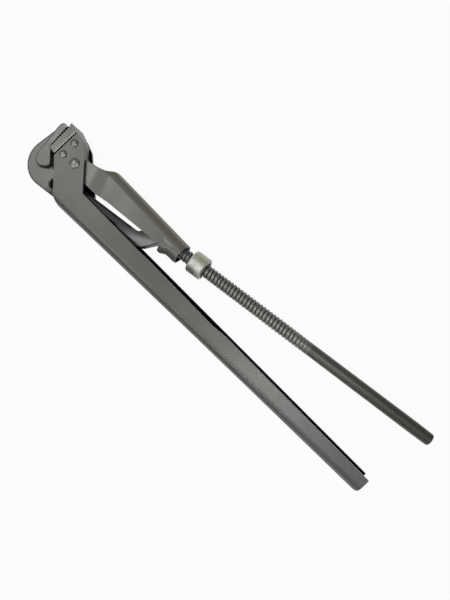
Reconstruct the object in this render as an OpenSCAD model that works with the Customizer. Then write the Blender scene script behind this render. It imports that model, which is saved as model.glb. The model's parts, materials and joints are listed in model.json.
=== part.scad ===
// Lever pipe wrench: a sheet-metal channel handle with a riveted fixed jaw, a link shell pivoted
// between its cheeks, and a forged hook lever whose threaded shank passes through the link.
// Lengths in millimetres, angles in degrees. +X runs along the channel handle to its end, +Y to
// the side of the round handle and +Z up through both cheeks.

/* [Channel handle] */
// Distance from the pivot to the end of the channel
handle_len = 356.5; // [250:0.5:500]
// Thickness of the folded sheet
sheet_t = 2.75; // [2:0.05:3.5]
// Space between the two walls and between the two cheeks
cheek_gap = 18.5; // [17.5:0.1:24]
// Distance from the pivot line to the open edges of the walls
open_edge = 13.4; // [12:0.1:16]
// Distance from the pivot to where the upper cheek's back edge meets the open edge
open_edge_x = 24.5; // [20:0.5:28]
// Distance from the pivot line to the outside of the web, measured beside the pivot
web_far_heel = 37.8; // [36.5:0.1:42]
// The same distance at the end of the handle
web_far_end = 26.4; // [23:0.1:35]
// Outside radius of the two long folds
fold_r = 7; // [5:0.25:9]
// Radius of the lower corner at the end of the handle
end_corner_r = 3; // [1:0.5:6]
// Length that the end edge leans back
end_lean = 2.4; // [0:0.2:6]

/* [Cheeks] */
// Distance from the pivot to the seat of the fixed jaw, along the pivot line
seat_x = 20.4; // [18.5:0.1:24]
// Angle of the seat to the jaw face
seat_tilt = 4; // [0:0.5:6]
// Width of the cheek from the pivot line to its throat corner
cheek_throat_y = 7.5; // [6:0.1:9]
// Width of the cheek from the pivot line to its back corner
cheek_back_y = 20.3; // [19.5:0.1:23]
// Distance from the pivot to the point where the heel of the web begins
heel_x = 9.5; // [6:0.5:14]
// Length of straight edge between the seat and the upper cheek's round shoulder
shoulder_start = 3.4; // [1:0.2:6]
// Radius of the upper cheek's shoulder
shoulder_r = 20; // [15:0.5:24]
// Distance from the pivot to the corner of the lower cheek's sheared shoulder
sheared_x = 6.5; // [5:0.5:9]
// Distance from the pivot line to the same corner
sheared_y = 15.8; // [14.5:0.1:17]
// Distance from the pivot to where the lower cheek's back edge meets the open edge
sheared_edge_x = 28; // [24:0.5:31]

/* [Jaws] */
// Distance from the pivot to the crests of the fixed jaw's teeth
jaw_face_x = 28.2; // [26.5:0.1:34]
// Distance from one tooth to the next
tooth_pitch = 2.56; // [1.8:0.02:3.5]
// Depth of the teeth
tooth_h = 1.15; // [0.6:0.05:1.6]
// Distance from the pivot line to the teeth's first crest, on the throat side
tooth_start = 2.8; // [1:0.1:3.4]
// Gap between the closed jaws at their throat end
bite_gap = 0.3; // [0.2:0.05:0.6]
// Extra gap between the closed jaws at the hook's nose
bite_relief = 0.35; // [0:0.05:0.8]
// Width of the fixed jaw on the throat side of the pivot line
jaw_throat_y = 6.1; // [5:0.1:7.4]
// Width of the fixed jaw on the back side of the pivot line
jaw_back_y = 23.3; // [22:0.1:28]
// Gap between the fixed jaw's shoulders and the cheeks
seat_gap = 0.5; // [0.2:0.05:1]
// Bevel along the edges of the fixed jaw
jaw_bevel = 0.9; // [0.3:0.1:1.5]

/* [Rivets] */
// Diameter of the pivot rivet's shank
pivot_d = 7; // [5:0.1:9]
// Diameter of the pivot rivet's heads
pivot_head_d = 9; // [8:0.1:13]
// Height of the pivot rivet's heads
pivot_head_h = 1.8; // [1:0.1:3]
// Diameter of the jaw rivets' shanks
jaw_rivet_d = 4.6; // [3:0.1:6]
// Diameter of the jaw rivets' heads
jaw_rivet_head_d = 6.7; // [6:0.1:9]
// Height of the jaw rivets' heads
jaw_rivet_head_h = 1.5; // [0.8:0.1:2.5]
// Distance from the seat to the line of the jaw rivets
jaw_rivet_inset = 6.5; // [5.5:0.1:8]
// Distance between the two jaw rivets
jaw_rivet_pitch = 13.7; // [11:0.1:17]
// Distance from the pivot line to the jaw rivet on the throat side
jaw_rivet_y = 0.9; // [0:0.1:2]
// Outside diameter of the spacer bush on the pivot
bush_d = 11; // [9.5:0.1:13]

/* [Link shell] */
// Thickness of the link's sheet
link_t = 1.9; // [1.4:0.05:2.4]
// Distance from the pivot to the link's end
link_len = 123; // [110:0.5:140]
// Distance from the pivot to the link's round back, measured square to it
link_back = 21.3; // [20.5:0.1:24]
// Angle between the link's back and the channel's open edge
link_lean = 1.5; // [0:0.1:3]
// Radius of the ears round the pivot
ear_r = 7.5; // [6.8:0.1:9]
// Distance from the pivot to the step where the sheet wraps round the shank
wrap_x = 105; // [95:0.5:112]
// Distance from the pivot line to the flanks' near edges, beside the pivot
flank_head_y = 6.2; // [5:0.1:7.5]
// Distance from the pivot line to the flanks' near edges, at the step
flank_end_y = 4; // [2:0.2:6]
// Distance that the wrapped sheet reaches past the pivot line, at the step
wrap_y = -1.6; // [-3:0.1:0]
// Distance from the pivot line to the wrapped sheet, at the link's end
mouth_y = 2.5; // [1:0.1:3.5]
// Width of the seam under the wrapped end
seam_w = 3; // [1:0.2:5]

/* [Hook lever] */
// Angle of the threaded shank to the channel's open edge
shank_lean = 7.35; // [5:0.05:10]
// Distance from the pivot to the axis of the threaded shank
shank_offset = 5.9; // [5:0.1:8]
// Distance from the pivot to the end of the round handle, along the shank
shank_len = 373.8; // [280:0.2:520]
// Diameter of the shank over its thread
screw_d = 11.4; // [9:0.1:12]
// Diameter of the plain round handle
grip_d = 10.5; // [8:0.1:12]
// Distance from the pivot to the end of the thread, along the shank
screw_end = 257.5; // [220:0.5:270]
// Thickness of the forged bar
bar_t = 12; // [9:0.1:13]
// Thickness of the toothed lobe of the hook
lobe_t = 22.4; // [18:0.1:24]
// Radius of the hook's round back
hook_r = 22.8; // [22:0.1:25]
// Distance from the pivot to the centre of the hook's round back, along the shank
hook_x = 22.6; // [21:0.1:28]
// Distance from the shank's axis to the centre of the hook's round back
hook_drop = 6.5; // [5:0.1:8]
// Distance from the pivot line to the hook's nose
hook_nose_y = 19.2; // [15:0.1:22]
// Distance from the shank's axis to the top of the hook's nose
hook_nose_v = 28.8; // [26:0.1:32]
// Distance from the shank's axis to the near edge of the bar
bar_near = 8.2; // [7:0.1:10]
// Distance from the shank's axis to the far edge of the bar, at its foot
bar_far_foot = 18.8; // [17:0.1:24]
// Distance from the link's step back to the foot where the bar turns into the shank
foot_back = 26; // [24.5:0.5:35]
// Depth of the fluting in each side of the bar
flute_depth = 2.4; // [1:0.1:3.5]
// Width of the rims left beside the fluting
flute_rim = 5.4; // [3:0.1:7]

/* [Nut] */
// Diameter of the adjusting nut
nut_d = 20; // [17:0.1:23]
// Length of the adjusting nut
nut_len = 14.5; // [10:0.5:20]
// Distance from the link's end to the nut's near face, along the shank
nut_gap = 8.4; // [1:0.2:40]
// Bevel on the nut's rims
nut_bevel = 1.1; // [0.5:0.1:2]
// Diameter of the recess in the nut's outer face
nut_recess_d = 15; // [13:0.1:17]
// Depth of that recess
nut_recess_h = 2.6; // [1:0.1:4]

/* [Fits] */
// Radial clearance of a running fit
run_gap = 0.07; // [0.03:0.01:0.1]
// Clearance of a piece held still in its seat
seat_clear = 0.04; // [0.02:0.01:0.08]
// Side clearance of a piece that moves between two walls
side_gap = 0.35; // [0.25:0.05:0.6]
// Clearance of the leaf spring round its bush and over the shank
spring_gap = 0.3; // [0.15:0.05:0.4]

/* [Leaf spring] */
// Thickness of the leaf spring
spring_t = 0.8; // [0.5:0.1:1.2]
// Width of the leaf spring
spring_w = 8; // [5:0.5:10]

/* [Hidden] */
$fn = 72;
body_t = cheek_gap + 2 * sheet_t;
link_w = cheek_gap - 2 * side_gap;
link_gap = link_w - 2 * link_t;
pivot_r = pivot_d / 2;
bush_r = bush_d / 2;
screw_r = screw_d / 2;
grip_r = grip_d / 2;
bar_far = hook_r + hook_drop;
link_turn = shank_lean + link_lean;
foot_x = wrap_x - foot_back;
nut_x = link_len * cos(link_turn) + link_back * sin(link_turn) + nut_gap;
web_slope = atan((web_far_heel - web_far_end) / handle_len);
// Radius kept free for the link's ears as they turn
ear_room = ear_r + 0.45;

// ---- Frames ----

// The hook lever's own frame has its x along the shank's axis and its origin nearest the pivot
function lever_to_row(p) = [p[0] * cos(shank_lean) - (p[1] - shank_offset) * sin(shank_lean),
                            p[0] * sin(shank_lean) + (p[1] - shank_offset) * cos(shank_lean)];
function row_to_lever(p) = [p[0] * cos(shank_lean) + p[1] * sin(shank_lean),
                            p[1] * cos(shank_lean) - p[0] * sin(shank_lean) + shank_offset];
module in_lever_frame() {
    rotate([0, 0, shank_lean]) translate([0, -shank_offset, 0]) children();
}
// The link's own frame has its x along the link's round back
module in_link_frame() {
    rotate([0, 0, -link_lean]) children();
}
// The seat's frame has its y along the fixed jaw's seat and its x into the cheeks
module on_seat() {
    translate([-seat_x, 0, 0]) rotate([0, 0, -seat_tilt]) children();
}
// Everything is drawn round the pivot, then set on the ground under the middle of its box
hook_centre = lever_to_row([-hook_x, -hook_drop]);
grip_end = lever_to_row([shank_len - grip_r, 0]);
low_x = hook_centre[0] - hook_r;
low_y = min(hook_centre[1] - hook_r, -web_far_heel);
high_x = max(grip_end[0] + grip_r, handle_len);
high_y = grip_end[1] + grip_r;
half_height = body_t / 2 + max(pivot_head_h, jaw_rivet_head_h);
module on_ground() {
    translate([-(low_x + high_x) / 2, -(low_y + high_y) / 2, half_height]) children();
}

// ---- Shared shapes ----

function arc(centre, r, from, to, steps) =
    [for (i = [0:steps]) centre + r * [cos(from + (to - from) * i / steps),
                                       sin(from + (to - from) * i / steps)]];
// V grooves along a jaw face, from the first crest to y1 at most, listed towards +Y. The crests lie
// at x, or up to lean further back at y1. side is 1 for teeth that point along +X and else -1.
function toothed_face(x, y1, side, lean = 0) =
    let (count = floor((y1 + tooth_start) / tooth_pitch))
    [for (i = [0:2 * count]) let (y = i * tooth_pitch / 2 - tooth_start)
        [x - side * lean * max(0, y) / y1 - (i % 2) * side * tooth_h, y]];
module slab(thickness) {
    translate([0, 0, -thickness / 2]) linear_extrude(thickness) children();
}
module peg(r, length) {
    translate([0, 0, -length / 2]) cylinder(r = r, h = length);
}
module along_x(length) {
    rotate([90, 0, 90]) linear_extrude(length) children();
}
// A low dome that stands on the plane z = 0
module rivet_head(d, h) {
    dome_r = (d * d / 4 + h * h) / (2 * h);
    intersection() {
        translate([0, 0, h - dome_r]) sphere(r = dome_r);
        cylinder(r = d, h = 2 * h);
    }
}
module rivet(shank_d, head_d, head_h) {
    peg(shank_d / 2, body_t);
    for (side = [0, 1]) mirror([0, 0, side]) translate([0, 0, body_t / 2]) rivet_head(head_d, head_h);
}
module at_jaw_rivets() {
    on_seat() for (i = [0, 1])
        translate([jaw_rivet_inset, i * jaw_rivet_pitch - jaw_rivet_y, 0]) children();
}

// ---- Channel handle ----

function seat_at(y) = -seat_x + y * tan(seat_tilt);
function web_at(x) = -web_far_heel + x * tan(web_slope);
back_corner = [seat_at(cheek_back_y), cheek_back_y];
shoulder_centre = back_corner + [shoulder_start, -shoulder_r];
sheared_corner = [-sheared_x, sheared_y];
// The angle at which a line from a point touches a circle from its +X side
function touch_angle(from, centre, r) =
    let (d = from - centre) atan2(d[1], d[0]) + acos(r / norm(d));
// Outline of one wall and its cheek, with the points of the cheek's back edge and shoulder
module wall_outline(back_edge) {
    lower_corner = [handle_len - end_lean - end_corner_r, web_at(handle_len) + end_corner_r];
    below = -web_far_heel - 1;
    polygon(concat(
        [back_corner, [seat_at(-cheek_throat_y), -cheek_throat_y],
         [heel_x - 3, web_at(0) + 3.6], [heel_x, web_at(0) + 1.9], [heel_x + 3.5, web_at(0) + 0.7],
         [heel_x + 5, below], [lower_corner[0] - 2, below], [lower_corner[0], web_at(handle_len) - 0.1]],
        arc(lower_corner, end_corner_r, -75, 0, 5),
        [[handle_len, -open_edge]],
        back_edge));
}
module upper_outline() {
    start = [open_edge_x, -open_edge];
    wall_outline(concat([start],
        arc(shoulder_centre, shoulder_r, touch_angle(start, shoulder_centre, shoulder_r), 90, 7)));
}
module lower_outline() {
    wall_outline([[sheared_edge_x, -open_edge], sheared_corner]);
}
// The folded sheet as a solid bar: its web faces -Y and its walls run towards +Y
module fold_bar(inset) {
    r = fold_r - inset;
    half = body_t / 2 - inset;
    reach = 3 * web_far_heel;
    translate([0, -web_far_heel, 0]) rotate([0, 0, web_slope]) translate([-reach, 0, 0])
        along_x(handle_len + 2 * reach) {
            translate([inset + r, -half]) square([reach, 2 * half]);
            translate([inset, r - half]) square([reach, 2 * (half - r)]);
            for (side = [-1, 1]) translate([inset + r, side * (half - r)]) circle(r = r);
        }
}
module channel_handle() {
    color([0.40, 0.41, 0.40]) on_ground() difference() {
        intersection() {
            fold_bar(0);
            union() {
                linear_extrude(body_t / 2) upper_outline();
                mirror([0, 0, 1]) linear_extrude(body_t / 2) lower_outline();
            }
        }
        fold_bar(sheet_t);
        peg(pivot_r + seat_clear, body_t + 1);
        at_jaw_rivets() peg(jaw_rivet_d / 2 + seat_clear, body_t + 1);
    }
}

// ---- Fixed jaw ----

module fixed_jaw_block() {
    seat_side = function(y) [seat_at(y) - seat_gap, y];
    difference() {
        slab(body_t) polygon(concat(
            [seat_side(cheek_back_y), seat_side(-jaw_throat_y),
             [-jaw_face_x + 1.8, -jaw_throat_y + 0.5], [-jaw_face_x, -jaw_throat_y + 2.4]],
            toothed_face(-jaw_face_x, jaw_back_y - 1.2, -1),
            [[-jaw_face_x, jaw_back_y - 0.4], [-jaw_face_x + 0.4, jaw_back_y]]));
        for (side = [-1, 1])
            on_seat() translate([-seat_gap, 0, side * body_t / 2]) rotate([0, 45, 0])
                cube([jaw_bevel * sqrt(2), 4 * jaw_back_y, jaw_bevel * sqrt(2)], center = true);
    }
}
// The tongue fills the space between the cheeks and takes the two rivets
module fixed_jaw_tongue() {
    throat = -jaw_throat_y + 0.5;
    difference() {
        slab(cheek_gap - 2 * seat_clear) polygon([
            [-jaw_face_x + 5, back_corner[1]], back_corner + [1, 0], sheared_corner + [-4.2, 1.3],
            sheared_corner + [5.7, -8.3], [0, throat], [-jaw_face_x + 5, throat]]);
        peg(ear_room, body_t);
        at_jaw_rivets() peg(jaw_rivet_d / 2 + seat_clear, body_t + 1);
    }
}
module fixed_jaw() {
    color([0.46, 0.46, 0.45]) on_ground() {
        fixed_jaw_block();
        fixed_jaw_tongue();
    }
}
module jaw_rivets() {
    color([0.50, 0.50, 0.49]) on_ground()
        at_jaw_rivets() rivet(jaw_rivet_d, jaw_rivet_head_d, jaw_rivet_head_h);
}

// ---- Pivot ----

module pivot_rivet() {
    color([0.50, 0.50, 0.49]) on_ground() rivet(pivot_d, pivot_head_d, pivot_head_h);
}
// Keeps the link's two ears apart
module pivot_bush() {
    color([0.33, 0.33, 0.32]) on_ground() difference() {
        peg(bush_r, link_gap - 2 * run_gap);
        peg(pivot_r + seat_clear, body_t);
    }
}

// ---- Link shell ----

// The link's U section as a solid bar: its round back faces +Y and its flanks run towards -Y
module link_bar(inset) {
    r = link_w / 2 - inset;
    reach = 2 * link_back;
    translate([-reach, 0, 0]) along_x(link_len + 2 * reach) {
        translate([link_back - inset - r, 0]) circle(r = r);
        translate([link_back - inset - r - 2 * reach, -r]) square([2 * reach, 2 * r]);
    }
}
// The same with its round side towards -Y, where the sheet wraps under the shank
module wrap_bar(inset) {
    r = link_w / 2 - inset;
    reach = 2 * link_back;
    rise = atan((mouth_y - wrap_y) / (link_len - wrap_x));
    translate([wrap_x, wrap_y, 0]) rotate([0, 0, rise]) translate([-reach, 0, 0])
        along_x(link_len + 2 * reach) {
            translate([inset + r, 0]) circle(r = r);
            translate([inset + r, -r]) square([2 * reach, 2 * r]);
        }
}
module link_outline() {
    circle(r = ear_r);
    polygon([[-2, ear_r - 0.4], [-1, 0], [2, -ear_r + 0.4], [21, -flank_head_y], [33, -flank_head_y + 0.7],
             [42, -flank_head_y + 2.9], [wrap_x - 2, flank_end_y], [wrap_x + 1, flank_end_y - 2],
             [wrap_x + 1, link_back], [33.5, link_back], [31, link_back - 0.2], [28.8, link_back - 1.1],
             [26, link_back - 3.9], [23, link_back - 6.4], [19.4, link_back - 8], [14.4, link_back - 9.5],
             [10.4, link_back - 10.3]]);
}
module wrap_outline() {
    translate([wrap_x, -link_back]) square([link_len - wrap_x, 2 * link_back]);
}
module link_shell() {
    color([0.42, 0.43, 0.40]) on_ground() in_link_frame() difference() {
        union() {
            intersection() {
                link_bar(0);
                slab(link_w) link_outline();
            }
            intersection() {
                link_bar(0);
                wrap_bar(0);
                slab(link_w) wrap_outline();
            }
        }
        difference() {
            link_bar(link_t);
            slab(link_w) translate([wrap_x, -3 * link_back]) square([link_len, 6 * link_back]);
        }
        intersection() {
            link_bar(link_t);
            wrap_bar(link_t);
        }
        // the seam between the sheet's two edges
        translate([wrap_x - 1, -link_back, -seam_w / 2])
            cube([link_len, link_back + mouth_y + link_t, seam_w]);
        peg(pivot_r + run_gap, body_t);
    }
}

// ---- Leaf spring ----

// Height of the spring's middle over the link's x: up to the back, down to the shank, and up
eye_r = bush_r + spring_gap + spring_t / 2;
spring_top = link_back - link_w / 2 + sqrt(pow(link_gap / 2, 2) - pow(spring_w / 2, 2))
    - spring_t / 2 - seat_clear;
function shank_top_at(x) = tan(link_turn) * x + (screw_r - shank_offset) / cos(link_turn);
function ease(t) = t * t * (3 - 2 * t);
function between(x, from, to) =
    from[1] + (to[1] - from[1]) * ease((x - from[0]) / (to[0] - from[0]));
spring_rest_x = wrap_x - 7;
spring_stops = [[0, eye_r], [48, spring_top],
                [spring_rest_x, shank_top_at(spring_rest_x) + spring_gap + spring_t / 2 + 0.3],
                [spring_rest_x + 9, shank_top_at(spring_rest_x + 9) + 1.2]];
// A strip of even thickness along a path
function strip(path, t) =
    let (last = len(path) - 1,
         side = [for (i = [0:last]) let (d = path[min(i + 1, last)] - path[max(i - 1, 0)])
             [-d[1], d[0]] * t / 2 / norm(d)])
    concat([for (i = [0:last]) path[i] + side[i]], [for (i = [last:-1:0]) path[i] - side[i]]);
spring_path = concat(
    arc([0, 0], eye_r, 375, 90, 24),
    [for (k = [0:2]) for (i = [1:10])
        let (x = spring_stops[k][0] + (spring_stops[k + 1][0] - spring_stops[k][0]) * i / 10)
        [x, between(x, spring_stops[k], spring_stops[k + 1])]]);
module leaf_spring() {
    color([0.24, 0.26, 0.30]) on_ground() in_link_frame()
        slab(spring_w) polygon(strip(spring_path, spring_t));
}

// ---- Hook lever ----

// Toothed face and throat of the hook, from its nose down to the bar's near edge
function hook_mouth() =
    let (face = -jaw_face_x - bite_gap, low = -jaw_throat_y + 2.4,
         teeth = toothed_face(face, hook_nose_y - 0.9, 1, bite_relief))
    concat([row_to_lever([face - bite_relief, hook_nose_y])],
           [for (i = [len(teeth) - 1:-1:0]) row_to_lever(teeth[i])],
           [row_to_lever([face, low]), [-19, -bar_near + 0.7]]);
// The forging's thinner body: round back, bar and foot
module bar_outline() {
    centre = [-hook_x, -hook_drop];
    foot = [foot_x, -bar_near];
    polygon(concat(
        hook_mouth(),
        [[-17, -bar_near], foot, foot + [2.2, 1], foot + [4, 3.2], foot + [6.5, 7.5], foot + [10, 11.5],
         foot + [14, 13.5], [foot_x + 19, screw_r]],
        [[foot_x + 23, screw_r], [foot_x + 23, -screw_r], [foot_x + 21.5, -screw_r - 1.6],
         [foot_x + 12.8, -bar_far_foot + 1.6], [foot_x + 10.6, -bar_far_foot + 0.4],
         [foot_x + 7.2, -bar_far_foot]],
        [[-3, -bar_far]],
        arc(centre, hook_r, 270, 158, 20),
        [[-37.5, hook_nose_v - 7.5], [-36.3, hook_nose_v - 3.4], [-33.2, hook_nose_v - 0.3]]));
}
// The thick lobe that carries the teeth
module lobe_outline() {
    polygon(concat(
        hook_mouth(),
        [[-21.4, -11.4]],
        arc([-28.5, -6.8], 7.1, -50, -180, 9),
        [[-35.3, 1.3], [-34.5, 13.5], [-34.2, hook_nose_v - 7.5], [-33.6, hook_nose_v - 2.8],
         [-32.6, hook_nose_v - 0.8], [-31.4, hook_nose_v]]));
}
module flute_outline() {
    start = [-8.3, -(bar_near + bar_far) / 2 - 0.6];
    start_r = (bar_far - bar_near) / 2 - flute_rim - 0.2;
    far_at_end = bar_far - (bar_far - bar_far_foot) * 0.69;
    end = [foot_x - 19, -(bar_near + far_at_end) / 2];
    end_r = (far_at_end - bar_near) / 2 - flute_rim;
    translate(start) circle(r = start_r);
    translate(end) circle(r = end_r);
    polygon([start + [0, start_r], start - [0, start_r], end - [0, end_r], end + [0, end_r]]);
}
module shank() {
    step = 1;
    rotate([0, 90, 0]) {
        translate([0, 0, foot_x + 14]) cylinder(r = screw_r, h = screw_end - foot_x - 14);
        translate([0, 0, screw_end]) cylinder(r1 = screw_r, r2 = grip_r, h = step);
        translate([0, 0, screw_end + step]) cylinder(r = grip_r, h = shank_len - grip_r - screw_end - step);
        translate([0, 0, shank_len - grip_r]) sphere(r = grip_r);
    }
}
module hook_lever() {
    color([0.44, 0.45, 0.43]) on_ground() in_lever_frame() {
        difference() {
            slab(bar_t) bar_outline();
            for (side = [-1, 1]) translate([0, 0, side * bar_t / 2])
                slab(2 * flute_depth) flute_outline();
        }
        slab(lobe_t) lobe_outline();
        shank();
    }
}

// ---- Adjusting nut ----

module adjusting_nut() {
    r = nut_d / 2;
    bore_r = screw_r + run_gap;
    lead_in = 0.8;
    recess_r = nut_recess_d / 2;
    floor_x = nut_len - nut_recess_h;
    color([0.80, 0.80, 0.76]) on_ground() in_lever_frame()
        translate([nut_x, 0, 0]) rotate([0, 90, 0]) rotate_extrude() polygon([
            [bore_r + lead_in, 0], [r - nut_bevel, 0], [r, nut_bevel], [r, nut_len - nut_bevel],
            [r - nut_bevel, nut_len], [recess_r, nut_len], [recess_r, floor_x],
            [bore_r + lead_in, floor_x], [bore_r, floor_x - lead_in], [bore_r, lead_in]]);
}

channel_handle();
fixed_jaw();
jaw_rivets();
pivot_rivet();
pivot_bush();
link_shell();
leaf_spring();
hook_lever();
adjusting_nut();
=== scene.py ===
"""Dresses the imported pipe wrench: eased sheet metal, forged hook, rolled thread, finishes."""
import json
import math

import bmesh
import bpy
from mathutils import Matrix, Vector
from mathutils.bvhtree import BVHTree


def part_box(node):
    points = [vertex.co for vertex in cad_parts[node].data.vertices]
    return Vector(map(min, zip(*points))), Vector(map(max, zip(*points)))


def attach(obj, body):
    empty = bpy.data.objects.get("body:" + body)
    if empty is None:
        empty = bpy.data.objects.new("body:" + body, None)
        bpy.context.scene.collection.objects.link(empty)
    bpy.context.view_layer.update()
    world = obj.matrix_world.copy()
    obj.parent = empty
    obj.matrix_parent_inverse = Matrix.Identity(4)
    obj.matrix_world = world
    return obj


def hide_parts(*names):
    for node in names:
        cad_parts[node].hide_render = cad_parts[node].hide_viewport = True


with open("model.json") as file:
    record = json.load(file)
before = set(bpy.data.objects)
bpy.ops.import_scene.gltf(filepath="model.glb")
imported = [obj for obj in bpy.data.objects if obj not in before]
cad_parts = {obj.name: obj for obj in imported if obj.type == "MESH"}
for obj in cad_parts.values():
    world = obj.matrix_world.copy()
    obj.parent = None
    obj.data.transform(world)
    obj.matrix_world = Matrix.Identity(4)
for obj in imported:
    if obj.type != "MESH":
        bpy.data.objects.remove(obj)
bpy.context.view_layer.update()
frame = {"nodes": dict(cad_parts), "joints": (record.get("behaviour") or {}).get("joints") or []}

MM = 0.001
LOOSE = 1e-6  # metres within which two corners are one
LOOSE_MM = 1e-4  # the same for a piece that is still in millimetres
SHARP = math.radians(32)  # an edge that turns more is sharp
FLAT = math.radians(0.6)  # faces that turn less are one flat
STRAY = 0.7  # an eased corner more widths than this off the metal goes back on it

# ---- Frames of the wrench, in millimetres from the pivot ----

joints = {joint["name"]: joint for joint in frame["joints"]}
pivot = Vector(joints["handle_hinge"]["pos_m"])
shank_way = Vector(joints["nut_spin"]["axis"]).normalized()
nut_place = Vector(joints["nut_spin"]["pos_m"])
shank_origin = nut_place + shank_way * (pivot - nut_place).dot(shank_way)
LINK_LEAN = math.radians(-1.5)


def placing(origin, along):
    """A matrix that sets millimetres along and across a direction down in the frame."""
    up = Vector((0, 0, 1))
    turn = Matrix((along, up.cross(along), up)).transposed().to_4x4()
    return Matrix.Translation(origin) @ turn @ Matrix.Scale(MM, 4)


CHANNEL = placing(pivot, Vector((1, 0, 0)))
LINK = placing(pivot, Vector((math.cos(LINK_LEAN), math.sin(LINK_LEAN), 0)))
LEVER = placing(shank_origin, shank_way)
channel_to_lever = LEVER.inverted() @ CHANNEL


def on_lever(x, y):
    """A point of the channel's frame in the lever's frame."""
    return (channel_to_lever @ Vector((x, y, 0))).to_2d()


def ramp(value, low, high):
    """How far a value has come from low to high, held between 0 and 1."""
    return min(max((value - low) / (high - low), 0), 1)


def between(value, points):
    """The height over a value on a line through points of (value, height)."""
    for (x0, y0), (x1, y1) in zip(points, points[1:]):
        if value <= x1:
            return y0 + (y1 - y0) * max(value - x0, 0) / (x1 - x0)
    return points[-1][1]


# ---- Making pieces ----

def set_down(bm, name, place, body, finish, stands_for=()):
    """Makes a piece of a bmesh: placed, merged, outward, smooth up to its sharp edges."""
    bmesh.ops.transform(bm, matrix=place, verts=bm.verts)
    bmesh.ops.remove_doubles(bm, verts=bm.verts, dist=LOOSE)
    bmesh.ops.recalc_face_normals(bm, faces=bm.faces)
    for face in bm.faces:
        face.smooth = True
    for edge in bm.edges:
        edge.smooth = edge.calc_face_angle(0) < SHARP
    mesh = bpy.data.meshes.new(name)
    bm.to_mesh(mesh)
    bm.free()
    mesh.materials.append(finish)
    piece = bpy.data.objects.new(name, mesh)
    bpy.context.scene.collection.objects.link(piece)
    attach(piece, body)
    if stands_for:
        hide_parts(*stands_for)
    return piece


def whole(bm):
    """Every corner, edge and face of a bmesh."""
    return bm.verts[:] + bm.edges[:] + bm.faces[:]


def copied(node):
    """A merged copy of a node's mesh, with its flat faces in one."""
    bm = bmesh.new()
    bm.from_mesh(frame["nodes"][node].data)
    bmesh.ops.remove_doubles(bm, verts=bm.verts, dist=LOOSE)
    bmesh.ops.dissolve_limit(bm, angle_limit=FLAT, use_dissolve_boundaries=False,
                             verts=bm.verts, edges=bm.edges, delimit=set())
    return bm


def eased(bm, width, segments=2):
    """Rounds the sharp edges and marks the new faces as rubbed."""
    rubbed = bm.faces.layers.float.new("rubbed")
    sharp = [edge for edge in bm.edges if edge.calc_face_angle(0) > SHARP]
    unrounded = BVHTree.FromBMesh(bm)
    made = bmesh.ops.bevel(bm, geom=sharp, offset=width, offset_type="OFFSET", segments=segments,
                           profile=0.5, affect="EDGES", clamp_overlap=False, material=-1)
    for face in made["faces"]:
        face[rubbed] = 1.0
    for vert in bm.verts:  # a point thrown off at a crowded corner goes back on the metal
        spot, _, _, away = unrounded.find_nearest(vert.co)
        if away > STRAY * width:
            vert.co = spot


def mark_inside(bm, place, is_inside):
    """Marks the faces that lie inside the folded sheet, which are painted dark as shade."""
    inside = bm.faces.layers.float.new("inside")
    back = place.inverted()
    for face in bm.faces:
        way = back.to_3x3() @ face.normal
        face[inside] = float(is_inside(back @ face.calc_center_median(), way.normalized()))


def eased_copy(name, node, body, finish, width, before=None, after=None):
    """A copy of a node with its edges eased, reshaped before or after the easing."""
    bm = copied(node)
    if before:
        before(bm)
    eased(bm, width * MM)
    if after:
        after(bm)
    piece = set_down(bm, name, Matrix.Identity(4), body, finish, (node,))
    flatness = piece.modifiers.new("flat_faces", "WEIGHTED_NORMAL")
    flatness.keep_sharp = True


def line_through(bm, points):
    """Corners at points and the edges between them."""
    verts = [bm.verts.new(point) for point in points]
    return verts + [bm.edges.new(pair) for pair in zip(verts, verts[1:])]


def turned(bm, points, centre, axis, steps):
    """A full turn of a line through points round an axis."""
    bmesh.ops.spin(bm, geom=line_through(bm, points), cent=centre, axis=axis, dvec=(0, 0, 0),
                   angle=math.tau, space=Matrix.Identity(4), steps=steps, use_merge=True,
                   use_normal_flip=False, use_duplicate=False)
    bmesh.ops.remove_doubles(bm, verts=bm.verts, dist=LOOSE_MM)


def revolved(bm, profile, steps):
    """A full turn of a profile of (distance along, radius) round the X axis."""
    turned(bm, [(x, 0, r) for x, r in profile], (0, 0, 0), (1, 0, 0), steps)


def loop_at(bm, points, z):
    """A closed loop of edges through points at one height."""
    verts = [bm.verts.new((x, y, z)) for x, y in points]
    return [bm.edges.new((a, b)) for a, b in zip(verts, verts[1:] + verts[:1])]


def lofted(bm, *levels):
    """A closed solid through loops of as many points, each at its own height."""
    loops = [loop_at(bm, points, z) for points, z in levels]
    for below, above in zip(loops, loops[1:]):
        bmesh.ops.bridge_loops(bm, edges=below + above)
    for end in (loops[0], loops[-1]):
        bmesh.ops.contextual_create(bm, geom=end)


def arc(centre, r, start, end, steps):
    """Points of an arc, its angles in degrees."""
    turns = [math.radians(start + (end - start) * i / steps) for i in range(steps + 1)]
    return [(centre[0] + r * math.cos(t), centre[1] + r * math.sin(t)) for t in turns]


def mirrored_down(bm):
    """Adds the far half, the mirror image below the middle plane."""
    bmesh.ops.mirror(bm, geom=whole(bm), matrix=Matrix.Identity(4), merge_dist=1e-3, axis="Z")
    bmesh.ops.recalc_face_normals(bm, faces=bm.faces)


def cut_to(bm, point, outward):
    """Cuts away what lies past a plane and closes the cut."""
    cut = bmesh.ops.bisect_plane(bm, geom=whole(bm), dist=1e-7, plane_co=point,
                                 plane_no=outward, clear_outer=True)["geom_cut"]
    edges = [e for e in cut if isinstance(e, bmesh.types.BMEdge) and e.is_boundary]
    bmesh.ops.contextual_create(bm, geom=edges)


# ---- Finishes ----

def tone(*steps):
    """A linear colour from red, green and blue out of 255."""
    shares = [step / 255 for step in steps]
    return [s / 12.92 if s <= 0.04045 else ((s + 0.055) / 1.055) ** 2.4 for s in shares] + [1]


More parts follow.
